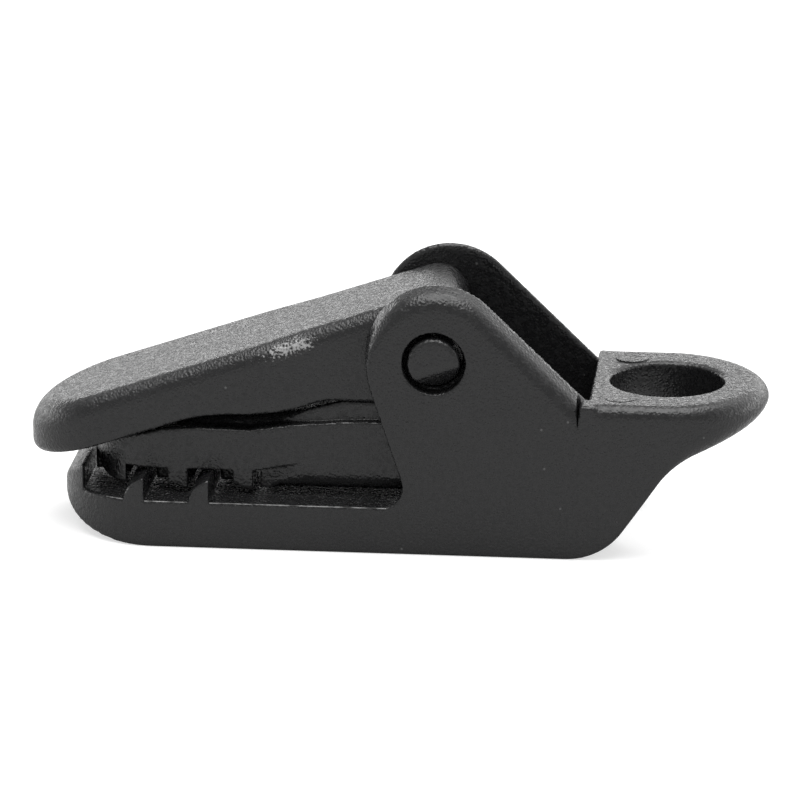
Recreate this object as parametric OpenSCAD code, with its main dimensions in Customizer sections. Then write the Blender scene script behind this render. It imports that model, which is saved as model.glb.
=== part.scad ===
// Tarp clip with a cam lever, in three moulded pieces: a body with a lower jaw, two pivot
// ears and an eye; a toothed upper jaw hinged between the ears; and a locking lever whose
// cam hub drives that jaw down on the cloth.
// The clip lies closed: +X to the eye, -X to the bite, +Z up, standing on its flat base.

/* [Body] */
// Width across the ears
body_w = 22; // [20:0.5:26]
// Thickness of each ear
ear_t = 3; // [2.6:0.1:3.6]
// Height of the bite floor above the base
floor_z = 5.15; // [4.6:0.05:5.6]
// Distance from the lever pivot forward to the nose
nose_reach = 41.15; // [40.5:0.05:44]
// Length of the rounding under the nose
nose_round_l = 8.9; // [6:0.1:10]
// Height of the rounding under the nose
nose_round_h = 4.8; // [3.5:0.1:5.4]
// Thickness of the lip at the nose
lip_t = 3; // [2.4:0.1:3.2]
// Height of the lip above the bite floor
lip_h = 2.75; // [2:0.05:3]
// Lean of the lip's front face
lip_lean = 1.2; // [0.6:0.1:1.8]

/* [Ears] */
// Height of the lever pivot above the base
pivot_z = 21.4; // [21.2:0.05:22.6]
// Radius of an ear about the lever pivot
ear_r = 7.65; // [7.2:0.05:8.4]
// Tilt of an ear's front edge from upright
ear_front_tilt = 18.4; // [14:0.2:22]
// Slope of an ear's rear edge down to the eye
ear_rear_slope = 44; // [42:0.5:48]
// Rounding of an ear's outer edge
ear_round = 1.2; // [0.6:0.1:1.6]
// Radius of the throat between lower jaw and ear
throat_r = 2.3; // [1.5:0.1:3]

/* [Eye] */
// Distance from the lever pivot back to the middle of the eye
eye_reach = 24.25; // [23.75:0.05:26]
// Height of the eye's top face
eye_top = 17; // [16.5:0.1:17.5]
// Radius of the eye's hole
eye_bore_r = 6.3; // [5.5:0.1:6.8]
// Wall between the eye's hole and the bay between the ears
eye_wall = 1.7; // [1.4:0.1:2.2]
// Thickness of the eye's rim at its far end
rim_t = 2.2; // [1.8:0.1:3]
// Rounding of the eye's top edge
eye_round = 1.2; // [0.6:0.1:1.6]
// Slope of the rim's underside
rim_slope = 24; // [20:1:28]
// Slope of the heel under the eye
heel_slope = 55.5; // [50:0.5:58]
// Distance from the middle of the eye forward to the foot of that slope
heel_set = 6.3; // [5.4:0.1:6.8]
// Radius where base and heel meet
heel_r = 7.4; // [5:0.1:9]
// Radius where heel and rim meet
rim_blend_r = 8; // [4:0.5:9]
// Width of the nick between ear and eye
nick_w = 0.6; // [0.4:0.1:1]
// Height of that nick
nick_h = 1.8; // [1.2:0.1:2.4]
// Depth of that nick into the side
nick_d = 1.8; // [1:0.1:2.4]

/* [Upper jaw] */
// Distance from the lever pivot forward to the jaw's front
jaw_reach = 37.75; // [37.25:0.05:38.15]
// Height of the jaw hinge above the bite floor
hinge_up = 4.35; // [4.2:0.05:4.6]
// Radius of the jaw's hinge pins
hinge_pin_r = 2; // [1.6:0.1:2.4]
// Depth of the pins' sockets in the ears
socket_d = 1.5; // [1.2:0.1:1.8]
// Radius of the jaw's tail about its hinge
tail_r = 3.6; // [3.2:0.1:3.8]
// Height of the jaw's sides above the bite floor, in front
cheek_h = 7.4; // [7:0.1:7.6]
// Height of the jaw's sides above the bite floor, between the ears
haunch_h = 8.65; // [8.4:0.05:8.8]
// Height of the jaw's belly above the bite floor
belly_h = 1.7; // [1.4:0.1:2]

/* [Teeth] */
// Distance from the lever pivot to the first upper tooth's rear face
bite_reach = 34; // [33.55:0.05:34.35]
// Number of upper teeth
upper_teeth = 3; // [2:1:3]
// Spacing of the teeth
tooth_pitch = 7.05; // [6.6:0.05:7.4]
// Thickness of a tooth at its root
tooth_w = 2.2; // [1.8:0.1:2.4]
// Height of an upper tooth
tooth_h = 2.15; // [1.8:0.05:2.4]
// Slant of an upper tooth's tip
tooth_rake = 0.8; // [0.4:0.1:1.2]
// Height of the upper teeth's tips above the bite floor
bite_gap = 0.7; // [0.5:0.05:0.9]

/* [Lever] */
// Distance from the lever pivot forward to the lever's tip
lever_reach = 44.75; // [43.75:0.25:48]
// Slope of the closed lever
lever_slope = 18.7; // [18:0.1:19.4]
// Distance of the lever's top line from the pivot
hub_r = 6.45; // [6.1:0.05:6.8]
// Upright depth of the lever's arm
arm_depth = 5.5; // [5.1:0.1:5.9]
// Upright depth of the lever near its hub
root_depth = 8.2; // [7.6:0.1:8.6]
// Radius to which the hub's top draws in at its rear
hub_rear_r = 4; // [3.8:0.1:4.4]
// Distance from the pivot at which the underside starts to swell
swell_front = 27.55; // [25:0.05:30]
// Distance from the pivot at which the swell is full
swell_back = 16.15; // [14:0.05:18]
// Length of the tip's rounding, seen from above
tip_round_l = 8; // [6:0.2:10]
// Rounding of the arm's top edges
arm_round = 1.8; // [1:0.1:2.2]
// Rounding of the arm's lower edges
arm_under_round = 0.7; // [0.4:0.1:1]
// Radius of the trunnions
trunnion_r = 2.8; // [2.4:0.1:3]
// Distance below the middle at which a trunnion's lead-in ramp starts
ramp_start = 1; // [0.6:0.1:1.4]
// Angle of that ramp
ramp_angle = 35; // [25:1:45]
// Width of the pocket round a trunnion's end
pocket_w = 0.55; // [0.3:0.05:0.8]
// Depth of that pocket
pocket_d = 1; // [0.6:0.1:1.4]

/* [Motion] */
// Swing of the lever from closed to open
lever_swing = 115; // [100:5:120]
// Swing of the jaw over the same travel
jaw_swing = 12; // [10:0.5:12]
// Radius of the cam where it holds the jaw shut
cam_r = 5.65; // [5.45:0.05:5.85]

/* [Fits] */
// Gap at each side of the lever and of the jaw
side_gap = 0.25; // [0.2:0.05:0.4]
// Radial gap round a trunnion or hinge pin
pivot_gap = 0.1; // [0.05:0.05:0.15]
// Gap between upper and lower teeth
tooth_gap = 0.35; // [0.25:0.05:0.45]
// Gap between the closed lever and the jaw's front
rest_gap = 0.2; // [0.1:0.05:0.4]
// Gap between the cam and the jaw's back
cam_gap = 0.15; // [0.1:0.05:0.25]
// Gap between the jaw's tail and the wall of the eye
tail_gap = 2.4; // [2:0.1:2.8]
// Gap between the lever's neck and the jaw's back
neck_gap = 0.8; // [0.5:0.1:1]

/* [Hidden] */
$fn = 64;
arc_steps = 8;
lap = 1;
black = "#2a2a2c";

half_w = body_w / 2;
bay_w = body_w - 2 * ear_t;
slide_w = bay_w - 2 * side_gap;
// The frame's origin lies under the middle of the closed clip's length
pivot_x = (lever_reach - eye_reach - half_w) / 2;
eye_x = pivot_x + eye_reach;
eye_end = eye_x + half_w;
wall_x = eye_x - eye_bore_r - eye_wall;
nose_x = pivot_x - nose_reach;
// The jaw's hinge keeps its place in front of the eye's wall
hinge_back = eye_reach - eye_bore_r - eye_wall - tail_gap - tail_r;
hinge_x = pivot_x + hinge_back;
hinge_z = floor_z + hinge_up;
crown_z = pivot_z - cam_r;
tip_x = pivot_x - lever_reach;
jaw_x = pivot_x - jaw_reach;
bite_x = pivot_x - bite_reach;
lower_tooth_h = bite_gap + tooth_h - tooth_gap;
cam_ratio = jaw_swing / lever_swing;

function arc(x, z, rx, rz, from, to, steps = arc_steps) =
    [for (i = [0:steps]) let (a = from + (to - from) * i / steps) [x + rx * cos(a), z + rz * sin(a)]];

// A side outline, drawn in X and Z, made w wide across the clip's middle
module across(w) rotate([90, 0, 0]) linear_extrude(w, center = true) children();

// A pin through the clip's middle, along Y
module cross_pin(x, z, r, w) translate([x, 0, z]) rotate([90, 0, 0]) cylinder(r = r, h = w, center = true);

module both_sides() {
    children();
    mirror([0, 1, 0]) children();
}

// A closed skin over rings that all have the same number of points
module loft(rings) {
    n = len(rings[0]);
    last = len(rings) - 1;
    polyhedron(
        points = [for (ring = rings, p = ring) p],
        faces = concat(
            [[for (j = [0:n - 1]) j]],
            [for (i = [0:last - 1], j = [0:n - 1]) let (k = (j + 1) % n) [i * n + j, (i + 1) * n + j, i * n + k]],
            [for (i = [0:last - 1], j = [0:n - 1])
                let (k = (j + 1) % n) [i * n + k, (i + 1) * n + j, (i + 1) * n + k]],
            [[for (j = [n - 1:-1:0]) last * n + j]]
        )
    );
}

// Side outline of lower jaw, base and eye: nose, base, heel, rim, bay floor and lip
function base_outline() =
    let (
        foot = eye_x - heel_set,
        rim_z = eye_top - rim_t,
        rise = tan(heel_slope),
        rim_rise = tan(rim_slope),
        bend_x = (rim_z - rim_rise * eye_end + rise * foot) / (rise - rim_rise),
        bend_z = rise * (bend_x - foot),
        run = rim_blend_r * tan((heel_slope - rim_slope) / 2),
        blend_x = bend_x - run * cos(heel_slope) + rim_blend_r * sin(heel_slope),
        blend_z = bend_z - run * sin(heel_slope) - rim_blend_r * cos(heel_slope),
        lip_x = nose_x + lip_t,
        lip_z = floor_z + lip_h
    )
    concat(
        arc(nose_x + nose_round_l, nose_round_h, nose_round_l, nose_round_h, 180, 270),
        arc(foot - heel_r * tan(heel_slope / 2), heel_r, heel_r, heel_r, 270, 270 + heel_slope),
        arc(blend_x, blend_z, rim_blend_r, rim_blend_r, 90 + heel_slope, 90 + rim_slope),
        [[eye_end, rim_z], [eye_end, eye_top], [wall_x, eye_top], [wall_x, floor_z]],
        [[lip_x, floor_z], [lip_x, lip_z], [nose_x + lip_lean, lip_z]]
    );

// Plan of lower jaw, base and eye: round at both ends
module base_plan() {
    translate([nose_x + half_w, 0]) circle(half_w);
    translate([eye_x, 0]) circle(half_w);
    translate([nose_x + half_w, -half_w]) square([eye_x - nose_x - half_w, body_w]);
}

// Side outline of an ear at y: throat, front edge, round about the pivot and rear slope.
// The edge above the throat is drawn in by inset. The throat is sunk a little, so that it
// crosses the bite floor at an angle and doesn't graze it.
function ear_ring(y, inset) =
    let (
        r = ear_r - inset,
        meet = 25,
        throat_z = floor_z + throat_r * cos(meet),
        corner_x = pivot_x - ear_r / cos(ear_front_tilt) + (pivot_z - floor_z) * tan(ear_front_tilt),
        throat_x = corner_x - throat_r / tan((90 - ear_front_tilt) / 2),
        rear = [pivot_x + r * sin(ear_rear_slope), pivot_z + r * cos(ear_rear_slope)],
        back_x = wall_x + lap
    )
    [for (p = concat(
        [[back_x, floor_z - lap], [throat_x, floor_z - lap]],
        arc(throat_x, throat_z, throat_r, throat_r, meet / 2 - 90, ear_front_tilt),
        arc(pivot_x, pivot_z, r, r, 180 + ear_front_tilt, 90 - ear_rear_slope, 3 * arc_steps),
        [[back_x, rear.y - (back_x - rear.x) * tan(ear_rear_slope)]]
    )) [p.x, y, p.y]];

// Insets of an ear's outline across its thickness, as [inset, y], from its outer face inwards.
// The first and last lie beyond the ear's two faces, which cut the skin cleanly.
function ear_edge() =
    let (
        steps = 5,
        round = [for (i = [0:steps])
            let (a = 90 * i / steps) [ear_round * (1 - sin(a)), ear_round * (1 - cos(a)) - half_w]]
    )
    concat([2 * round[0] - round[1]], [for (i = [1:steps]) round[i]], [[0, lap - bay_w / 2]]);

// One ear, its outer edge rounded along the rear slope and the arc, running out down the front edge
module ear() {
    intersection() {
        loft([for (e = ear_edge()) ear_ring(e.y, e.x)]);
        translate([nose_x, -half_w, 0]) cube([eye_end - nose_x, ear_t, pivot_z + ear_r + lap]);
    }
}

// Section of the sliver taken off a side's edge to round it; the edge lies at (edge, half_w).
// The round lies a hair outside, so that it crosses both faces and doesn't graze them.
module round_section(edge, r) {
    hair = r / 40;
    low = half_w - r + hair;
    in = edge - r + hair;
    polygon(concat(arc(in, low, r, r, 90, 0), [[edge + lap, low], [edge + lap, half_w + lap], [in, half_w + lap]]));
}

// Rounds the eye's top edge round its end and along one side
module eye_rounding() {
    translate([eye_x, 0, eye_top - half_w]) {
        rotate([0, 0, -90]) rotate_extrude(angle = 90) round_section(half_w, eye_round);
        rotate([90, 0, -90]) linear_extrude(eye_x - wall_x) round_section(half_w, eye_round);
    }
}

// The nick between an ear's rear end and the side of the eye
module eye_nick() {
    translate([0, -half_w + (nick_d - lap) / 2, 0]) across(nick_d + lap)
        polygon([[wall_x - nick_w, eye_top + lap], [wall_x, eye_top + lap], [wall_x - nick_w, eye_top - nick_h]]);
}

// Lower tooth: swept front, upright back
module lower_tooth(x) {
    sweep = 65;
    long = tooth_w / (1 - cos(sweep));
    tall = lower_tooth_h / sin(sweep);
    across(body_w) polygon(concat(
        arc(x + long, floor_z, long, tall, 180, 180 - sweep),
        [[x + tooth_w, floor_z - lap], [x, floor_z - lap]]
    ));
}

module body() {
    color(black) difference() {
        union() {
            intersection() {
                union() {
                    across(body_w) polygon(base_outline());
                    for (i = [0:upper_teeth - 2]) lower_tooth(bite_x + tooth_gap + i * tooth_pitch);
                }
                linear_extrude(eye_top + lap) base_plan();
            }
            both_sides() ear();
        }
        translate([eye_x, 0, -lap]) cylinder(r = eye_bore_r, h = eye_top + 2 * lap);
        cross_pin(pivot_x, pivot_z, trunnion_r + pivot_gap, body_w + 2 * lap);
        cross_pin(hinge_x, hinge_z, hinge_pin_r + pivot_gap, bay_w + 2 * socket_d);
        both_sides() {
            translate([0, -half_w - lap / 2 + pocket_d / 2, 0])
                cross_pin(pivot_x, pivot_z, trunnion_r + pocket_w, pocket_d + lap);
            eye_rounding();
            eye_nick();
        }
    }
}

// Height of the closed lever's straight top line at x
function lever_top(x) =
    pivot_z + hub_r / cos(lever_slope) - (pivot_x - x) * tan(lever_slope);

// Upright depth of the lever at x, swelling smoothly towards the hub
function lever_depth(x) =
    let (
        t = (swell_front - (pivot_x - x)) / (swell_front - swell_back),
        s = min(1, max(0, t))
    )
    arm_depth + (root_depth - arm_depth) * s * s * (3 - 2 * s);

// Height of the lever's underside at x, level where the neck passes over the jaw's back
function lever_under(x) = min(lever_top(x) - lever_depth(x), crown_z + neck_gap);

// Distance of the jaw's back from the lever pivot, with the jaw open by b, and its rate
function back_gap(b) = -hinge_back * sin(b) + (pivot_z - hinge_z) * cos(b) - (crown_z - hinge_z);
function back_rate(b) = (-hinge_back * cos(b) - (pivot_z - hinge_z) * sin(b)) * cam_ratio / (1 - cam_ratio);

// Point of the cam that bears on the jaw's back with the lever open by q
function cam_point(q) =
    let (
        b = q * cam_ratio,
        f = q - b,
        r = back_gap(b) - cam_gap
    )
    [pivot_x + r * sin(f) + back_rate(b) * cos(f), pivot_z - r * cos(f) + back_rate(b) * sin(f)];

// Side outline of the upper jaw: back, tail, belly, teeth and front
function jaw_outline() =
    let (
        cheek_z = floor_z + cheek_h,
        haunch_z = floor_z + haunch_h,
        belly_z = floor_z + belly_h,
        tip_z = floor_z + bite_gap,
        root_z = tip_z + tooth_h,
        front_z = lever_top(jaw_x) - arm_depth - rest_gap,
        cheek_x = jaw_x + (cheek_z - front_z) / tan(lever_slope),
        last_x = bite_x + (upper_teeth - 1) * tooth_pitch
    )
    concat(
        [[jaw_x, front_z], [cheek_x, cheek_z], [pivot_x - 2 * hinge_back, cheek_z]],
        [[pivot_x - hinge_back, haunch_z], [pivot_x + hub_r / 2, haunch_z]],
        arc(hinge_x, hinge_z, tail_r, tail_r, 90, -90),
        [[hinge_x - tail_r, belly_z], [last_x + tooth_gap * 2, belly_z], [last_x + tooth_gap * 2, root_z]],
        [for (i = [upper_teeth - 1:-1:1], p = [[0, root_z], [0, tip_z], [-tooth_w, tip_z + tooth_rake],
            [-tooth_w, root_z]]) [bite_x + i * tooth_pitch + p.x, p.y]],
        [[bite_x, root_z]],
        arc(bite_x, front_z, bite_x - jaw_x, front_z - tip_z, 270, 180)
    );

// The jaw's crowned back, which the cam bears on
module jaw_crown() {
    haunch_z = floor_z + haunch_h;
    rise = crown_z - haunch_z;
    crown_r = (slide_w * slide_w / 4 + rise * rise) / (2 * rise);
    swell_x = pivot_x - swell_back;
    intersection() {
        translate([0, 0, crown_z - crown_r]) rotate([0, 90, 0])
            cylinder(r = crown_r, h = 4 * hinge_back, center = true, $fn = 256);
        across(slide_w) polygon(concat(
            [[swell_x, haunch_z - 2 * lap]],
            [for (i = [0:arc_steps])
                let (x = swell_x + (pivot_x - hub_r - swell_x) * i / arc_steps)
                [x, min(crown_z, lever_under(x) - neck_gap)]],
            [[pivot_x + hub_r / 2, crown_z], [hinge_x, hinge_z + tail_r], [hinge_x, hinge_z]]
        ));
    }
}

module upper_jaw() {
    color(black) {
        intersection() {
            union() {
                across(slide_w) polygon(jaw_outline());
                jaw_crown();
            }
            linear_extrude(pivot_z) {
                translate([jaw_x + slide_w / 2, 0]) circle(slide_w / 2);
                translate([jaw_x + slide_w / 2, -slide_w / 2]) square([jaw_reach + hinge_back + tail_r, slide_w]);
            }
        }
        cross_pin(hinge_x, hinge_z, hinge_pin_r, bay_w + 2 * (socket_d - side_gap));
    }
}

// Pairs of upper and lower points of the lever's side, with its half width there:
// rounded tip, straight arm, then the hub between its top and its cam
function lever_pairs() =
    let (
        edge = arm_depth / 2,
        first = 15,
        flat = tip_round_l * (1 - cos(first)),
        root_x = pivot_x - hub_r,
        arm_from = tip_x + tip_round_l - flat,
        arm_steps = 2 * arc_steps,
        end_gap = back_gap(jaw_swing) - cam_gap,
        end_f = lever_swing - jaw_swing,
        top_end = 180 - end_f - acos(end_gap / hub_rear_r)
    )
    concat(
        [for (a = [first:15:75])
            let (
                d = tip_round_l * (1 - cos(a)),
                k = d < edge ? sqrt(1 - pow(1 - d / edge, 2)) : 1,
                x = tip_x + d - flat,
                mid = lever_top(x) - edge
            )
            [[x, mid + k * edge], [x, mid - k * edge], slide_w / 2 * sin(a)]],
        [for (i = [0:arm_steps])
            let (x = arm_from + (root_x - arm_from) * i / arm_steps)
            [[x, lever_top(x)], [x, lever_under(x)], slide_w / 2]],
        [for (i = [0:arc_steps])
            let (
                t = i / arc_steps,
                a = -lever_slope + (top_end + lever_slope) * t,
                r = hub_r + (hub_rear_r - hub_r) * t
            )
            [[pivot_x + r * sin(a), pivot_z + r * cos(a)], cam_point(lever_swing * t), slide_w / 2]]
    );

// One rounded section of the lever between an upper and a lower point
function lever_ring(pair) =
    let (
        up = pair[0],
        low = pair[1],
        w = pair[2],
        d = norm(up - low),
        r = min(arm_round, 0.45 * d, 0.9 * w),
        s = min(arm_under_round, 0.45 * d, 0.9 * w),
        steps = 4
    )
    [for (c = [[1, d - r, r, 0], [-1, d - r, r, 90], [-1, s, s, 180], [1, s, s, 270]], i = [0:steps])
        let (
            a = c[3] + 90 * i / steps,
            y = c[0] * (w - c[2]) + c[2] * cos(a),
            h = (c[1] + c[2] * sin(a)) / d
        )
        [low.x + (up.x - low.x) * h, y, low.y + (up.y - low.y) * h]];

module lever() {
    pin_w = body_w - 2 * pivot_gap;
    color(black) difference() {
        union() {
            loft([for (pair = lever_pairs()) lever_ring(pair)]);
            cross_pin(pivot_x, pivot_z, trunnion_r, pin_w);
        }
        both_sides() translate([pivot_x, -pin_w / 2, pivot_z]) rotate([0, -lever_slope, 0])
            translate([0, 0, -ramp_start]) rotate([ramp_angle, 0, 0])
            translate([-hub_r, -hub_r, -hub_r]) cube([2 * hub_r, hub_r, hub_r]);
    }
}

body();
upper_jaw();
lever();
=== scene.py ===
import bpy
import numpy as np
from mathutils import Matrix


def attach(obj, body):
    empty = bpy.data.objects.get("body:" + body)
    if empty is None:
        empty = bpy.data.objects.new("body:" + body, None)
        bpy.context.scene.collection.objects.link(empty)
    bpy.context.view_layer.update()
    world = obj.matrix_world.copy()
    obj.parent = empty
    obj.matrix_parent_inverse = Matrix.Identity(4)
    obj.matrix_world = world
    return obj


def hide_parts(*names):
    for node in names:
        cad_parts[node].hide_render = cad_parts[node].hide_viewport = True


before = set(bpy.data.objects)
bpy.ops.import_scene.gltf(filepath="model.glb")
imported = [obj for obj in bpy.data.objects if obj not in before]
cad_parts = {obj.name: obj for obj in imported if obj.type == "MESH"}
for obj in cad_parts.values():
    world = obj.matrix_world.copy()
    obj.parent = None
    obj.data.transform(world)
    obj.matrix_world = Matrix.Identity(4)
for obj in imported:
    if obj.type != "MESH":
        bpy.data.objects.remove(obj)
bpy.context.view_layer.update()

# Body: lower jaw, two pivot ears and the eye for the guy line, one moulding of black plastic.
# A mould rounds every edge a little, so the piece is drawn as a distance field of rounded
# joins and cuts, in millimetres, and its zero surface becomes the skin.
MM = 0.001


def stations(start, stop, step, *finer):
    """Grid positions along one axis, closer together inside each finer (from, to, step)."""
    spots = [start]
    while spots[-1] < stop:
        here = spots[-1]
        spots.append(here + min([step] + [s for low, high, s in finer if low <= here < high]))
    return np.array(spots)


def ease(low, high, value):
    """0 up to low, 1 from high on, and a smooth rise between them."""
    t = np.clip((value - low) / (high - low), 0, 1)
    return t * t * (3 - 2 * t)


def arc(x, z, reach_x, reach_z, start, stop, steps=24):
    """Points along part of an ellipse about (x, z), from start to stop in degrees."""
    turn = np.radians(np.linspace(start, stop, steps + 1))
    return list(zip(x + reach_x * np.cos(turn), z + reach_z * np.sin(turn)))


def bend(pulls, steps):
    """Points along the smooth curve that four pull points give."""
    t = np.linspace(0, 1, steps + 1)[:, None]
    a, b, c, d = np.array(pulls)
    curve = a * (1 - t) ** 3 + 3 * b * t * (1 - t) ** 2 + 3 * c * t * t * (1 - t) + d * t ** 3
    return [tuple(spot) for spot in curve]


def outline(points, x, z):
    """Signed distance to a closed outline drawn in x and z, negative inside."""
    nearest = np.full(np.broadcast_shapes(x.shape, z.shape), np.inf)
    side = np.ones_like(nearest)
    for (ax, az), (bx, bz) in zip(points, points[1:] + points[:1]):
        ex, ez = bx - ax, bz - az
        if ex == 0 and ez == 0:
            continue
        wx, wz = x - ax, z - az
        t = np.clip((wx * ex + wz * ez) / (ex * ex + ez * ez), 0, 1)
        nearest = np.minimum(nearest, (wx - t * ex) ** 2 + (wz - t * ez) ** 2)
        above, below, left = z >= az, z < bz, ex * wz > ez * wx
        side[(above & below & left) | ~(above | below | left)] *= -1
    return side * np.sqrt(nearest)


def trimmed(a, b, r):
    """What a and b share, with the edge between them rounded."""
    return np.minimum(-r, np.maximum(a, b)) + np.hypot(np.maximum(r + a, 0), np.maximum(r + b, 0))


def cut(a, b, r):
    """What a keeps outside b, with the new edge rounded."""
    return trimmed(a, -b, r)


def joined(a, b, r):
    """Both a and b, with a fillet in the corner between them."""
    return np.maximum(r, np.minimum(a, b)) - np.hypot(np.maximum(r - a, 0), np.maximum(r - b, 0))


def skin(name, xs, ys, zs, field):
    """The zero surface of a field over a grid, as a closed mesh of quads, outside out."""
    grid = (xs, ys, zs)
    field = np.broadcast_to(field, (len(xs), len(ys), len(zs)))
    inside = field < 0
    cells = tuple(n - 1 for n in field.shape)
    filled = sum(
        inside[i:i + cells[0], j:j + cells[1], k:k + cells[2]].astype(np.int8)
        for i in (0, 1) for j in (0, 1) for k in (0, 1)
    )
    active = np.argwhere((filled > 0) & (filled < 8))
    total, hits = np.zeros((len(active), 3)), np.zeros(len(active))
    for axis in range(3):
        u, v = (axis + 1) % 3, (axis + 2) % 3
        for du, dv in ((0, 0), (0, 1), (1, 0), (1, 1)):
            low = active.copy()
            low[:, u] += du
            low[:, v] += dv
            high = low.copy()
            high[:, axis] += 1
            f_low, f_high = field[tuple(low.T)], field[tuple(high.T)]
            hit = (f_low < 0) != (f_high < 0)
            share = np.where(hit, f_low / np.where(hit, f_low - f_high, 1), 0)
            spot = np.stack([grid[d][low[:, d]] for d in range(3)], axis=1)
            spot[:, axis] += share * (grid[axis][high[:, axis]] - grid[axis][low[:, axis]])
            total += spot * hit[:, None]
            hits += hit
    number = np.full(cells, -1)
    number[tuple(active.T)] = np.arange(len(active))
    quads = []
    for axis in range(3):
        u, v = np.eye(3, dtype=int)[(axis + 1) % 3], np.eye(3, dtype=int)[(axis + 2) % 3]
        ends = np.moveaxis(inside, axis, 0)
        spots = np.argwhere(np.moveaxis(ends[:-1] != ends[1:], 0, axis))
        ring = [number[tuple(p.T)] for p in (spots, spots - u, spots - u - v, spots - v)]
        ring = np.stack(ring, axis=1)
        leaving = inside[tuple(spots.T)]
        quads.append(np.where(leaving[:, None], ring, ring[:, ::-1]))
    mesh = bpy.data.meshes.new(name)
    mesh.from_pydata(total / hits[:, None] * MM, [], np.concatenate(quads))
    mesh.shade_smooth()
    piece = bpy.data.objects.new(name, mesh)
    bpy.context.scene.collection.objects.link(piece)
    return piece


half_w, bay_half = 11.0, 8.0
floor_z, nose_x, lip_z, lip_x = 5.15, -36.4, 7.9, -33.4
pivot_x, pivot_z = 4.75, 21.4
eye_x, eye_top, eye_r, wall_x = 29.0, 17.15, 6.15, 21.0
hinge_x, hinge_z = 15.0, 9.5
bite_x, tooth_pitch, tooth_w, lower_tooth_h = -29.25, 7.05, 2.2, 2.5

# The grid reaches past the piece on all sides and is finer at the teeth, the nick and the pivot.
xs = stations(-37.4, 41, 0.34, (-34, -18.5, 0.22), (19.4, 21.4, 0.12), (1, 9, 0.24))
ys = stations(-12, 12, 0.34, (-11.3, -9.8, 0.16), (9.7, 11.3, 0.16))
zs = stations(-1, 30.2, 0.32, (4.6, 8.4, 0.2), (16, 25.2, 0.24))
x, y, z = xs[:, None, None], ys[None, :, None], zs[None, None, :]
side = np.abs(y)
mid_x, straight = (nose_x + half_w + eye_x) / 2, (eye_x - nose_x - half_w) / 2
plan = np.hypot(np.maximum(np.abs(x - mid_x) - straight, 0), y) - half_w

# The base seen from the side, from the nose along the foot and the heel to the eye and the bite.
heel_slope, rim_slope, heel_r, rim_r = 55.5, 19.5, 7.4, 8.0
foot_x, rim_end_x, rim_z = eye_x - 6.3, eye_x + half_w, 14.3
heel, rim = np.radians(heel_slope), np.radians(rim_slope)
bend_x = (rim_z - np.tan(rim) * rim_end_x + np.tan(heel) * foot_x) / (np.tan(heel) - np.tan(rim))
bend_z = np.tan(heel) * (bend_x - foot_x)
run = rim_r * np.tan((heel - rim) / 2)
rim_arc_x = bend_x - run * np.cos(heel) + rim_r * np.sin(heel)
rim_arc_z = bend_z - run * np.sin(heel) - rim_r * np.cos(heel)
nose_run, nose_lift, lip_flat, spare = 10.2, 4.0, 0.15, 4.0
lip_slant = [(nose_x + 0.75, 6.15), (nose_x + 0.45, 5.5), (nose_x, 4.9), (nose_x, nose_lift)]
base_outline = (
    arc(nose_x + nose_run, nose_lift, nose_run, nose_lift, 180, 270)
    + arc(foot_x - heel_r * np.tan(heel / 2), heel_r, heel_r, heel_r, 270, 270 + heel_slope)
    + arc(rim_arc_x, rim_arc_z, rim_r, rim_r, 90 + heel_slope, 90 + rim_slope)
    + [(rim_end_x + spare, rim_z + spare * np.tan(rim)), (rim_end_x + spare, eye_top + spare)]
    + [(wall_x, eye_top + spare), (wall_x, floor_z)]
    + [(lip_x, floor_z), (lip_x, lip_z), (lip_x - lip_flat, lip_z)]
    + bend(lip_slant, 10)
)
# Edges are crisp along the bite and fuller on the eye and under its rim.
edge_r = 0.2 + 0.1 * (1 - ease(2.5, 4, z)) + 0.4 * ease(9, 13, z) + 0.9 * ease(27, 34, x)
top_edge_r = 0.25 + 1.05 * ease(20.4, 22.4, x) + 0.6 * ease(30, 39, x)
body_field = trimmed(outline(base_outline, x, z), plan, edge_r)
body_field = trimmed(body_field, z - eye_top, top_edge_r)

# Two teeth stand across the lower jaw, round in front and upright behind.
first_tooth_x, tooth_sweep, tooth_edge = bite_x + 0.6, 65, 0.15
sweep = np.radians(tooth_sweep)
tooth_run, tooth_rise = tooth_w / (1 - np.cos(sweep)), lower_tooth_h / np.sin(sweep)
lower_teeth = []
for tooth_x in (first_tooth_x, first_tooth_x + tooth_pitch):
    tooth = arc(tooth_x + tooth_run, floor_z, tooth_run, tooth_rise, 180, 180 - tooth_sweep)
    tooth += [(tooth_x + tooth_w, floor_z - 1), (tooth_x, floor_z - 1)]
    lower_teeth.append(tooth)
    body_field = np.minimum(body_field, trimmed(outline(tooth, x, z), plan, tooth_edge))

# The ears: round about the pivot, leaning in front, sloping down to the eye behind,
# with crests that fall away outwards.
front_tilt, rear_slope, ear_r, throat_r, crest_tilt = 18.4, 44.0, 7.75, 2.3, np.radians(19)
lean = np.radians(front_tilt)
ear_x, ear_z = pivot_x + 0.2, pivot_z + 0.35
corner_x = ear_x - ear_r / np.cos(lean) + (ear_z - floor_z) * np.tan(lean)
throat_x = corner_x - throat_r / np.tan((np.pi / 2 - lean) / 2)
drop = np.radians(rear_slope)
rear_x, rear_z = ear_x + ear_r * np.sin(drop), ear_z + ear_r * np.cos(drop)
ear_outline = (
    arc(throat_x, floor_z + throat_r, throat_r, throat_r, -90, front_tilt)
    + arc(ear_x, ear_z, ear_r, ear_r, 180 + front_tilt, 90 - rear_slope, 48)
    + [(wall_x + 1, rear_z - (wall_x + 1 - rear_x) * np.tan(drop))]
    + [(wall_x + 1, floor_z - 1), (throat_x, floor_z - 1)]
)
ear_crest = np.maximum(ease(17.5, 27, z), ease(3, 10, x) * ease(10, 16, z))
ear_fall = np.tan(crest_tilt) * ear_crest * np.maximum(side - bay_half, 0)
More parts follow.
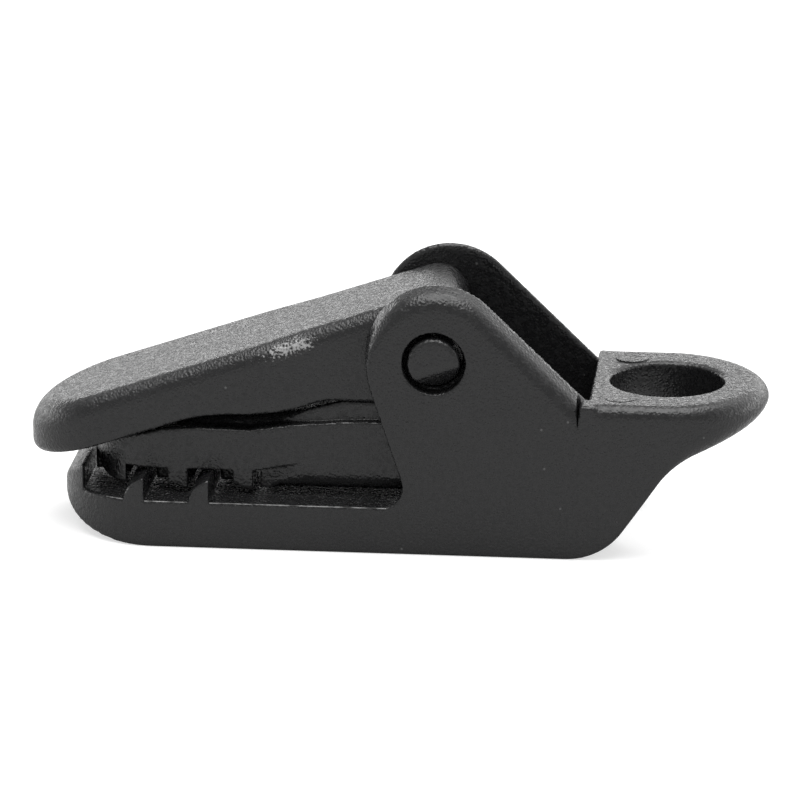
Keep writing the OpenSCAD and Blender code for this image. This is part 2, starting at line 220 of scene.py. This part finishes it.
ear_field = trimmed(outline(ear_outline, x, z) + ear_fall, side - half_w, 0.2 + 1.1 * ear_crest)
ear_field = trimmed(ear_field, bay_half - side, 0.2)
body_field = np.minimum(body_field, ear_field)

# The eye, a through bore with an outer recess for each trunnion, and a blind socket
# for each of the jaw's pins.
bore_r, recess_r, recess_depth, socket_r, socket_depth = 2.9, 3.35, 1.6, 2.1, 1.5
eye_edge, bore_edge, recess_edge, socket_edge = 0.35, 0.2, 0.12, 0.1
recess_floor, socket_floor = half_w - recess_depth - side, side - bay_half - socket_depth
pivot_ring = np.hypot(x - pivot_x, z - pivot_z)
hinge_ring = np.hypot(x - hinge_x, z - hinge_z)
body_field = cut(body_field, np.hypot(x - eye_x, y) - eye_r, eye_edge)
body_field = cut(body_field, pivot_ring - bore_r, bore_edge)
body_field = cut(body_field, np.maximum(pivot_ring - recess_r, recess_floor), recess_edge)
body_field = cut(body_field, np.maximum(hinge_ring - socket_r, socket_floor), socket_edge)

# A pad fills the foot of the near ear's slope, and a nick in the mould's edge marks both sides.
pad_x, pad_depth, pad_edge, pad_end_edge = wall_x - 0.75, 4, 0.35, 0.3
nick_depth, nick_in, nick_edge = 2.6, 2.4, 0.05
pad = np.maximum(pad_x - x, x - wall_x - 1)
pad = trimmed(pad, np.maximum(z - eye_top, eye_top - pad_depth - z), pad_edge)
body_field = np.minimum(body_field, trimmed(np.maximum(pad, bay_half + y), plan, pad_end_edge))
nick = [(wall_x - 1.2, eye_top + 2), (wall_x - 0.65, eye_top + 2)]
nick += [(wall_x - 0.95, eye_top - nick_depth)]
body_field = cut(body_field, np.maximum(outline(nick, x, z), half_w - nick_in - side), nick_edge)
body = skin("body_moulding", xs, ys, zs, body_field)


def fed(tree, node, socket, value):
    """Set a node's socket to a plain number, or link another node's output to it."""
    if isinstance(value, (int, float)):
        node.inputs[socket].default_value = value
    else:
        tree.links.new(value, node.inputs[socket])


def maths(tree, operation, one, other):
    """One sum of two values, each a number or a node's output."""
    node = tree.nodes.new("ShaderNodeMath")
    node.operation = operation
    fed(tree, node, 0, one)
    fed(tree, node, 1, other)
    return node.outputs["Value"]


def mapped(tree, source, low, high, to_low, to_high, smooth=False):
    """A source's span from low to high laid over another span, straight or with eased ends."""
    node = tree.nodes.new("ShaderNodeMapRange")
    if smooth:
        node.interpolation_type = "SMOOTHSTEP"
    tree.links.new(source, node.inputs["Value"])
    ends = {"From Min": low, "From Max": high, "To Min": to_low, "To Max": to_high}
    for socket, end in ends.items():
        fed(tree, node, socket, end)
    return node.outputs["Result"]


def moulded_plastic(name, rub_highlight_patches=()):
    """Black plastic with a spark-eroded mould's pitted grain, dust specks and worn patches whose
    pale grey paints a highlight.

    Each worn patch, painted pale grey as a highlight, is (centre, half lengths, turn about Y), in
    millimetres and radians.
    """
    stuff = bpy.data.materials.new(name)
    stuff.use_nodes = True
    tree = stuff.node_tree
    nodes, links = tree.nodes, tree.links
    shader = nodes["Principled BSDF"]
    place = nodes.new("ShaderNodeTexCoord").outputs["Object"]

    def texture(kind, size, **settings):
        node = nodes.new(kind)
        node.inputs["Scale"].default_value = 1 / (size * MM)
        for socket, value in settings.items():
            node.inputs[socket].default_value = value
        links.new(place, node.inputs["Vector"])
        return node

    def tinted(share, colour_a, colour_b):
        node = nodes.new("ShaderNodeMix")
        node.data_type = "RGBA"
        links.new(share, node.inputs["Factor"])
        for socket, colour in (("A", colour_a), ("B", colour_b)):
            if isinstance(colour, tuple):
                node.inputs[socket].default_value = (*colour, 1)
            else:
                links.new(colour, node.inputs[socket])
        return node.outputs["Result"]

    soot, charcoal = (0.009, 0.009, 0.0095), (0.013, 0.013, 0.0135)
    # The worn patches' pale grey is a painted highlight on worn plastic.
    dust_grey, rub_highlight_grey, grain_depth = (0.08, 0.08, 0.08), (0.34, 0.34, 0.34), 0.045 * MM
    pit_size, swirl_size, grain_size, speck_gap, rub_highlight_size = 0.28, 6, 0.55, 3.6, 0.27
    pits = texture("ShaderNodeTexVoronoi", pit_size)
    swirl = texture("ShaderNodeTexNoise", swirl_size, Detail=3)
    grain = texture("ShaderNodeTexNoise", grain_size, Detail=3)
    specks = texture("ShaderNodeTexVoronoi", speck_gap)
    colour = tinted(swirl.outputs["Fac"], soot, charcoal)
    dust = mapped(tree, specks.outputs["Distance"], 0.03, 0.045, 1, 0)
    colour = tinted(dust, colour, dust_grey)
    rough = mapped(tree, grain.outputs["Fac"], 0.35, 0.65, 0.1, 0.42)
    height = maths(tree, "ADD", pits.outputs["Distance"], grain.outputs["Fac"])
    # Each worn patch mixes pale grey into the colour: a painted highlight on a worn spot.
    for centre, halves, turn in rub_highlight_patches:
        patch = nodes.new("ShaderNodeMapping")
        patch.vector_type = "TEXTURE"
        patch.inputs["Location"].default_value = [c * MM for c in centre]
        patch.inputs["Rotation"].default_value = (0, turn, 0)
        patch.inputs["Scale"].default_value = [h * MM for h in halves]
        links.new(place, patch.inputs["Vector"])
        reach = nodes.new("ShaderNodeVectorMath")
        reach.operation = "LENGTH"
        links.new(patch.outputs["Vector"], reach.inputs[0])
        ragged_highlight = texture("ShaderNodeTexNoise", rub_highlight_size, Detail=4)
        fading = mapped(tree, reach.outputs["Value"], 0.3, 1.2, 0.12, -0.25)
        worn_highlight_mask = maths(tree, "ADD", ragged_highlight.outputs["Fac"], fading)
        colour = tinted(mapped(tree, worn_highlight_mask, 0.5, 0.66, 0, 1), colour, rub_highlight_grey)
    links.new(colour, shader.inputs["Base Color"])
    links.new(rough, shader.inputs["Roughness"])
    relief = nodes.new("ShaderNodeBump")
    relief.inputs["Strength"].default_value = 1
    relief.inputs["Distance"].default_value = grain_depth
    links.new(height, relief.inputs["Height"])
    links.new(relief.outputs["Normal"], shader.inputs["Normal"])
    return stuff


black_plastic = moulded_plastic("black_plastic")
body.data.materials.append(black_plastic)
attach(body, "body")
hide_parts("body")

# Ejector marks: the round heads of two ejector pins stood a hair below the eye's mould face,
# so each left a low round land on the eye's flat top, in the same plastic and of one piece with it.


def node_tree(name, sizes):
    """An empty geometry tree with a mesh going in and out and a named size for each socket."""
    tree = bpy.data.node_groups.new(name, "GeometryNodeTree")
    tree.interface.new_socket("Geometry", in_out="INPUT", socket_type="NodeSocketGeometry")
    tree.interface.new_socket("Geometry", in_out="OUTPUT", socket_type="NodeSocketGeometry")
    for label, value in sizes.items():
        socket = tree.interface.new_socket(label, in_out="INPUT", socket_type="NodeSocketFloat")
        socket.default_value = value
    return tree, tree.nodes.new("NodeGroupInput"), tree.nodes.new("NodeGroupOutput")


def chained(tree, *sockets):
    """Link sockets in pairs: an output, then the input it feeds."""
    for source, target in zip(sockets[::2], sockets[1::2]):
        tree.links.new(source, target)


def grown(name, spots, edges, tree, sizes, heights=None):
    """The mesh that a tree grows on spots and edges given in millimetres, as a plain object."""
    seed = bpy.data.meshes.new(name + "_seed")
    seed.from_pydata([tuple(c * MM for c in spot) for spot in spots], edges, [])
    if heights:
        seed.attributes.new("height", "FLOAT", "POINT").data.foreach_set("value", heights)
    host = bpy.data.objects.new(name + "_seed", seed)
    bpy.context.scene.collection.objects.link(host)
    grow = host.modifiers.new("grow", "NODES")
    grow.node_group = tree
    for item in tree.interface.items_tree:
        if item.in_out == "INPUT" and item.name in sizes:
            grow[item.identifier] = sizes[item.name]
    evaluated = host.evaluated_get(bpy.context.evaluated_depsgraph_get())
    mesh = bpy.data.meshes.new_from_object(evaluated)
    host.modifiers.remove(grow)
    bpy.data.objects.remove(host)
    piece = bpy.data.objects.new(name, mesh)
    bpy.context.scene.collection.objects.link(piece)
    return piece


mark_sizes = {"Foot Radius": 1.86 * MM, "Top Radius": 1.8 * MM, "Sink": 0.2 * MM}
marks, given, made = node_tree("ejector_marks", mark_sizes)
land = marks.nodes.new("GeometryNodeMeshCone")
land.inputs["Vertices"].default_value = 48
land.inputs["Depth"].default_value = 1
rise = marks.nodes.new("GeometryNodeInputNamedAttribute")
rise.data_type = "FLOAT"
rise.inputs["Name"].default_value = "height"
tall = maths(marks, "ADD", rise.outputs["Attribute"], given.outputs["Sink"])
scale = marks.nodes.new("ShaderNodeCombineXYZ")
scale.inputs["X"].default_value = scale.inputs["Y"].default_value = 1
place = marks.nodes.new("GeometryNodeInstanceOnPoints")
points = marks.nodes.new("GeometryNodeMeshToPoints")
lower = marks.nodes.new("GeometryNodeTransform")
down = marks.nodes.new("ShaderNodeCombineXYZ")
drop_by = maths(marks, "MULTIPLY", given.outputs["Sink"], -1)
real = marks.nodes.new("GeometryNodeRealizeInstances")
finish = marks.nodes.new("GeometryNodeSetMaterial")
finish.inputs["Material"].default_value = black_plastic
chained(
    marks,
    given.outputs["Foot Radius"], land.inputs["Radius Bottom"],
    given.outputs["Top Radius"], land.inputs["Radius Top"],
    given.outputs["Geometry"], points.inputs["Mesh"],
    points.outputs["Points"], place.inputs["Points"],
    land.outputs["Mesh"], place.inputs["Instance"],
    tall, scale.inputs["Z"],
    scale.outputs["Vector"], place.inputs["Scale"],
    place.outputs["Instances"], lower.inputs["Geometry"],
    drop_by, down.inputs["Z"],
    down.outputs["Vector"], lower.inputs["Translation"],
    lower.outputs["Geometry"], real.inputs["Geometry"],
    real.outputs["Geometry"], finish.inputs["Geometry"],
    finish.outputs["Geometry"], made.inputs["Geometry"],
)
mark_spots = [(24.4, -7, eye_top), (24.8, 7.5, eye_top)]
mark_heights = [0.035 * MM, 0.12 * MM]
ejector_marks = grown("ejector_marks", mark_spots, [], marks, mark_sizes, mark_heights)
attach(ejector_marks, "body")

# Flash on the body: a hair of plastic squeezed into the mould's parting line along both top edges
# of the lower jaw. It is broken where the teeth stand, and a little uneven in thickness.
# The flash is coloured pale grey in broken streaks: a painted highlight along the jaw's top edges,
# where a rounded edge catches light.
highlight_break_size, dim_highlight_grey, bright_highlight_grey = 1.1, (0.03, 0.03, 0.03, 1), (0.28, 0.28, 0.28, 1)
flash_highlight_plastic = bpy.data.materials.new("flash_highlight_plastic")
flash_highlight_plastic.use_nodes = True
nodes, links = flash_highlight_plastic.node_tree.nodes, flash_highlight_plastic.node_tree.links
nodes["Principled BSDF"].inputs["Roughness"].default_value = 0.6
ragged_highlight = nodes.new("ShaderNodeTexNoise")
ragged_highlight.inputs["Scale"].default_value = 1 / (highlight_break_size * MM)
links.new(nodes.new("ShaderNodeTexCoord").outputs["Object"], ragged_highlight.inputs["Vector"])
pale = nodes.new("ShaderNodeValToRGB")
for stop, at, colour in zip(pale.color_ramp.elements, (0.4, 0.62), (dim_highlight_grey, bright_highlight_grey)):
    stop.position, stop.color = at, colour
links.new(ragged_highlight.outputs["Fac"], pale.inputs["Fac"])
links.new(pale.outputs["Color"], nodes["Principled BSDF"].inputs["Base Color"])
flash_sizes = {"Thickness": 0.065 * MM, "Unevenness": 0.7, "Grain": 900.0}
flash_step, flash_in, flash_sink, off_tooth = 0.35 * MM, 0.06, 0.02, 0.1
flash, given, made = node_tree("flash_line", flash_sizes)
path = flash.nodes.new("GeometryNodeMeshToCurve")
even = flash.nodes.new("GeometryNodeResampleCurve")
even.mode = "LENGTH"
even.inputs["Length"].default_value = flash_step
uneven = flash.nodes.new("ShaderNodeTexNoise")
thin = maths(flash, "SUBTRACT", 1, given.outputs["Unevenness"])
spread = mapped(flash, uneven.outputs["Fac"], 0.3, 0.7, thin, 1)
thick = flash.nodes.new("GeometryNodeSetCurveRadius")
ring = flash.nodes.new("GeometryNodeCurvePrimitiveCircle")
ring.inputs["Resolution"].default_value = 6
swept = flash.nodes.new("GeometryNodeCurveToMesh")
swept.inputs["Fill Caps"].default_value = True
real = flash.nodes.new("GeometryNodeRealizeInstances")
finish = flash.nodes.new("GeometryNodeSetMaterial")
finish.inputs["Material"].default_value = flash_highlight_plastic
chained(
    flash,
    given.outputs["Geometry"], path.inputs["Mesh"],
    path.outputs["Curve"], even.inputs["Curve"],
    given.outputs["Grain"], uneven.inputs["Scale"],
    even.outputs["Curve"], thick.inputs["Curve"],
    spread, thick.inputs["Radius"],
    given.outputs["Thickness"], ring.inputs["Radius"],
    ring.outputs["Curve"], swept.inputs["Profile Curve"],
    thick.outputs["Curve"], swept.inputs["Curve"],
    swept.outputs["Mesh"], real.inputs["Geometry"],
    real.outputs["Geometry"], finish.inputs["Geometry"],
    finish.outputs["Geometry"], made.inputs["Geometry"],
)
nose_turn_x = nose_x + half_w


def runs(stretches, edge_y, height, steps=24):
    """Spots and edges of thin lines along both sides, one for each (from, to) stretch of x."""
    spots, edges = [], []
    for low_x, high_x in stretches:
        for hand in (-1, 1):
            first = len(spots)
            for at in np.linspace(low_x, high_x, steps):
                spots.append((at, hand * edge_y(at), height(at)))
            edges += [(first + i, first + i + 1) for i in range(steps - 1)]
    return spots, edges


def jaw_edge_y(at):
    """How far out the lower jaw's top edge lies, round the nose and along the sides."""
    return np.sqrt(half_w ** 2 - min(at - nose_turn_x, 0) ** 2) - flash_in


second_tooth_x = first_tooth_x + tooth_pitch
gaps = [(-30.6, first_tooth_x - off_tooth)]
gaps += [(first_tooth_x + tooth_w + off_tooth, second_tooth_x - off_tooth)]
gaps += [(second_tooth_x + tooth_w + off_tooth, throat_x + 0.6)]
floor_edge = runs(gaps, jaw_edge_y, lambda at: floor_z - flash_sink)
body_flash = grown("body_flash", *floor_edge, flash, flash_sizes)
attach(body_flash, "body")

# Upper jaw: a toothed bar of the same plastic, hinged between the ears on two stub pins.
# Its crowned back, set in from the cheeks, is what the lever's cam bears on. The web in the
# middle of the bite is a guess, made because no light shows between the teeth.
jaw_x, slide_half = -33.0, 7.75
cheek_z, haunch_z, crown_z, belly_z = 12.55, 13.8, 15.75, 5.75
tip_z, root_z, front_z, tail_r = 5.55, 7.85, 9.73, 3.6

# The grid is finer at the teeth and along the cheeks' edges.
xs = stations(-34, 19.6, 0.24, (-33.4, -13, 0.16))
ys = stations(-10, 10, 0.28, (-8.1, -6.6, 0.16), (6.4, 8, 0.16))
zs = stations(4.8, 16.8, 0.24, (5.4, 8.6, 0.16))
x, y, z = xs[:, None, None], ys[None, :, None], zs[None, None, :]
side = np.abs(y)
plan = np.hypot(np.minimum(x - jaw_x - slide_half, 0), y) - slide_half
last_x = bite_x + 2 * tooth_pitch + 0.15
jaw_outline = (
    [(jaw_x, front_z), (-28.3, 11.4), (-24.7, 12.3), (-20.8, cheek_z), (-15.3, cheek_z - 0.1)]
    + [(-10.4, 13.2), (-5, 13.65), (0, haunch_z), (8, haunch_z)]
    + arc(hinge_x, hinge_z, tail_r, tail_r, 90, -90)
    + [(hinge_x - tail_r, belly_z), (last_x + 0.7, belly_z), (last_x + 0.7, root_z)]
)
for tooth_x in (last_x, last_x - tooth_pitch):
    jaw_outline += [(tooth_x, root_z), (tooth_x, tip_z)]
    jaw_outline += [(tooth_x - tooth_w, tip_z + 0.8), (tooth_x - tooth_w, root_z)]
jaw_outline += [(bite_x + 0.35, root_z), (bite_x + 0.35, tip_z + 0.3)]
beak_curve = [(bite_x, tip_z + 0.2), (bite_x - 2.2, tip_z + 0.2), (jaw_x, 6.7), (jaw_x, front_z)]
jaw_outline += bend(beak_curve, 20)
# Edges are crisp at the teeth, and the belly behind them is round.
edge_r = 0.15 + 0.1 * ease(8.5, 10.5, z) + 2 * ease(-14.2, -12, x) * (1 - ease(8.5, 10, z))
jaw_field = trimmed(outline(jaw_outline, x, z), plan, edge_r)
wedge = [(last_x + 0.2, root_z), (-9.8, 8.9), (-9, 5), (last_x + 0.2, 5)]
wedge_depth = 0.9 * (1 - ease(-14.5, -9.5, x))
jaw_field = cut(jaw_field, np.maximum(outline(wedge, x, z), slide_half - wedge_depth - side), 0.1)
crease = [(jaw_x - 1, front_z + 0.3), (-28.6, 7.8), (-28.6, 5), (jaw_x - 1, 5)]
beak_half, beak_spread = 5.2, 2.5
beak = side - beak_half - beak_spread * ease(-32, -28.6, x)
jaw_field = cut(jaw_field, np.maximum(outline(crease, x, z), -beak), 0.1)
web_front_half, web_back_half, web_clear = 1.2, 4.2, 0.4
web = np.maximum(np.maximum(jaw_x - x, x - last_x), np.maximum(tip_z - z, z - front_z))
for tooth in lower_teeth:
    web = np.maximum(web, web_clear - outline(tooth, x, z))
web_half = np.where(x < bite_x, web_front_half, web_back_half)
jaw_field = np.minimum(jaw_field, np.maximum(web, side - web_half))
crown_side = [(-25, 11.5), (-24.5, 12.2), (-20.8, 13.3), (-15.3, 13.5), (-12.4, 13.8)]
crown_side += [(-10.4, 14.3), (-8, 15.05), (-5.4, crown_z), (8, crown_z)]
crown_side += [(hinge_x, hinge_z + tail_r), (hinge_x, hinge_z)]
crown_in, neck_in = 0.85, 0.9
low_neck = 1 - ease(-13.5, -8.5, x)
crown_reach = side - slide_half + crown_in + neck_in * low_neck
crown = trimmed(outline(crown_side, x, z), crown_reach, 0.3 + 1.2 * low_neck)
jaw_field = joined(jaw_field, crown, 0.1)
stub_r, stub_reach = 2, 1.25
stub = trimmed(np.hypot(x - hinge_x, z - hinge_z) - stub_r, side - bay_half - stub_reach, 0.2)
jaw_field = np.minimum(jaw_field, stub)
jaw = skin("jaw_moulding", xs, ys, zs, jaw_field)
jaw.data.materials.append(black_plastic)
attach(jaw, "upper_jaw")
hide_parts("upper_jaw")

# Flash on the upper jaw: the same hair of plastic on the parting line along both top edges,
# near the hinge, where the cheeks stand highest.
# It has the same pale grey streaks, a painted highlight along the cheeks' top edges.
cheek_in, cheek_sink, cheek_climb = 0.1, 0.16, 0.02
cheek_edge = runs(
    [(-6, -1)],
    lambda at: slide_half - cheek_in,
    lambda at: haunch_z - cheek_sink + cheek_climb * at,
)
jaw_flash = grown("jaw_flash", *cheek_edge, flash, flash_sizes)
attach(jaw_flash, "upper_jaw")

# Lever: a solid thumb lever of the same plastic with a cam hub at its root.
# Two trunnions moulded on the hub were sprung into the ears; a ramp on each let them in.
tip_x, slope, hub_r = -40.0, np.radians(18.7), 6.45
swing, jaw_swing = np.radians(115), np.radians(12)
cam_r, cam_clear, neck_clear = 5.65, 0.15, 0.2


def lever_top(x):
    """Height of the lever's straight top at x."""
    return pivot_z + hub_r / np.cos(slope) - (pivot_x - x) * np.tan(slope)


def cam_point(turn):
    """Where the cam comes nearest to the jaw's back with the lever open by turn."""
    share = jaw_swing / swing
    back, rise = hinge_x - pivot_x, pivot_z - hinge_z
    open_by = turn * share
    lift = -back * np.sin(open_by) + rise * np.cos(open_by)
    gap = lift - (pivot_z - cam_r - hinge_z) - cam_clear
    rate = (-back * np.cos(open_by) - rise * np.sin(open_by)) * share / (1 - share)
    left = turn - open_by
    cam_x = pivot_x + gap * np.sin(left) + rate * np.cos(left)
    cam_z = pivot_z - gap * np.cos(left) + rate * np.sin(left)
    return cam_x, cam_z


# The grid is finer at the tip and round the trunnions.
xs = stations(-40.8, 13, 0.26, (-40.8, -30, 0.2), (1.4, 8, 0.18))
ys = stations(-11.8, 11.8, 0.26, (-11.5, -10.5, 0.15), (10.4, 11.5, 0.15))
zs = stations(6.6, 29.2, 0.26, (18.2, 24.6, 0.18))
x, y, z = xs[:, None, None], ys[None, :, None], zs[None, None, :]
side = np.abs(y)
past_tip_x, thin_arm, thick_by = -46, 5.55, 2.65
arm_xs = np.linspace(past_tip_x, pivot_x - hub_r, 80)
arm_depth = thin_arm + thick_by * ease(-22.8, -9.5, arm_xs)
neck_z = crown_z + neck_clear
cam = [cam_point(turn) for turn in np.linspace(0, swing, 40)]
top_end = (pivot_x - hub_r * np.sin(slope), pivot_z + hub_r * np.cos(slope))
hub_rear = [(7.0, 24.4), (6.75, 26.6), (5.2, 28.3), top_end]
lever_outline = (
    list(zip(arm_xs, np.minimum(lever_top(arm_xs) - arm_depth, neck_z))) + cam
    + bend(hub_rear, 20) + [(past_tip_x, lever_top(past_tip_x))]
)
thumb_flare, tip_run, top_round, under_round = 0.65, 8, 1.8, 0.35
wide = slide_half + thumb_flare * (1 - ease(-16, -8, x))
plan = np.hypot(np.minimum(x - tip_x - tip_run, 0) * wide / tip_run, y) - wide
arm_mid = lever_top(x) - 3
tip_round = (0.7 + 0.35 * (z < arm_mid)) * (1 - ease(tip_x, tip_x + 9, x))
edge_r = np.where(z > arm_mid, top_round, under_round) + tip_round
lever_field = trimmed(outline(lever_outline, x, z), plan, edge_r)
pin_r, pin_end, ramp_from, ramp_turn = 2.8, half_w + 0.35, 0.8, np.radians(42)
pin = trimmed(np.hypot(x - pivot_x, z - pivot_z) - pin_r, side - pin_end, 0.5)
ramp_drop = (z - pivot_z) * np.cos(slope) - (x - pivot_x) * np.sin(slope) + ramp_from
pin = cut(pin, (pin_end - side) * np.cos(ramp_turn) + ramp_drop * np.sin(ramp_turn), 0.25)
lever_field = joined(lever_field, pin, 0.2)
lever = skin("lever_moulding", xs, ys, zs, lever_field)
# A worn spot on the lever's near edge fillet, where that fillet catches the soft box; its pale grey
# is a painted highlight.
rubbed_highlight_edge = ((-11, -7.7, 21.75), (4.6, 1.6, 1.2), -slope)
rub_highlight_plastic = moulded_plastic("rub_highlight_black_plastic", [rubbed_highlight_edge])
lever.data.materials.append(rub_highlight_plastic)
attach(lever, "lever")
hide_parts("lever")

# Studio: a sheet of pale paper under one soft box, in a white room that is brightest low behind
# the clip. The camera looks from the photograph's side, a little from above.
floor_mesh = bpy.data.meshes.new("floor")
reach, paper_grey, paper_glow = 3.0, 0.52, 0.6
corners = [(-reach, -reach, 0), (reach, -reach, 0), (reach, reach, 0), (-reach, reach, 0)]
floor_mesh.from_pydata(corners, [], [(0, 1, 2, 3)])
floor = bpy.data.objects.new("floor", floor_mesh)
bpy.context.scene.collection.objects.link(floor)
paper = bpy.data.materials.new("pale_paper")
paper.use_nodes = True
nodes, links = paper.node_tree.nodes, paper.node_tree.links
sheet = nodes["Principled BSDF"]
sheet.inputs["Base Color"].default_value = (paper_grey, paper_grey, paper_grey, 1)
sheet.inputs["Roughness"].default_value = 0.9
glow = nodes.new("ShaderNodeEmission")
rays = nodes.new("ShaderNodeLightPath")
seen = maths(paper.node_tree, "MULTIPLY", rays.outputs["Is Camera Ray"], paper_glow)
links.new(seen, glow.inputs["Strength"])
both = nodes.new("ShaderNodeAddShader")
links.new(sheet.outputs[0], both.inputs[0])
links.new(glow.outputs[0], both.inputs[1])
links.new(both.outputs[0], nodes["Material Output"].inputs["Surface"])
floor_mesh.materials.append(paper)

scene = bpy.context.scene
scene.view_settings.view_transform = "Standard"
world = bpy.data.worlds.new("studio")
scene.world = world
world.use_nodes = True
nodes, links = world.node_tree.nodes, world.node_tree.links
sky = nodes["Background"]
sky.inputs["Color"].default_value = (1, 1, 1, 1)
way = nodes.new("ShaderNodeTexCoord")
parts = nodes.new("ShaderNodeSeparateXYZ")
links.new(way.outputs["Generated"], parts.inputs["Vector"])
across, back, up = (parts.outputs[axis] for axis in "XYZ")
right = mapped(world.node_tree, across, 0, 0.35, 0.6, 1.6)
height = mapped(world.node_tree, up, 0.16, 0.34, 3.5, right, smooth=True)
level = mapped(world.node_tree, back, -0.6, 0.7, 0.5, height, smooth=True)
behind = mapped(world.node_tree, back, 0.4, 0.9, 1, 0.08, smooth=True)
foot = mapped(world.node_tree, up, 0.06, 0.14, behind, 1, smooth=True)
cove = maths(world.node_tree, "MULTIPLY", level, foot)
rays = nodes.new("ShaderNodeLightPath")
seen = nodes.new("ShaderNodeMix")
links.new(rays.outputs["Is Camera Ray"], seen.inputs["Factor"])
links.new(cove, seen.inputs["A"])
seen.inputs["B"].default_value = 1
links.new(seen.outputs["Result"], sky.inputs["Strength"])

key = bpy.data.lights.new("soft_box", "AREA")
key.shape = "RECTANGLE"
key.size, key.size_y, key.energy = 0.5, 0.56, 3.2
key_lamp = bpy.data.objects.new("soft_box", key)
scene.collection.objects.link(key_lamp)
key_lamp.location = (0, -0.05, 0.5)

view = bpy.data.cameras.new("photo_view")
view.sensor_width, view.lens = 36, 237.1
camera = bpy.data.objects.new("photo_view", view)
scene.collection.objects.link(camera)
turn, rise, distance = np.radians(5.65), np.radians(17.25), 0.57
aim = np.array((0.12, 0, 13.91)) * MM
camera.location = aim + distance * np.array(
    (np.sin(turn) * np.cos(rise), -np.cos(turn) * np.cos(rise), np.sin(rise))
)
camera.rotation_euler = (np.pi / 2 - rise, 0, turn)
scene.camera = camera
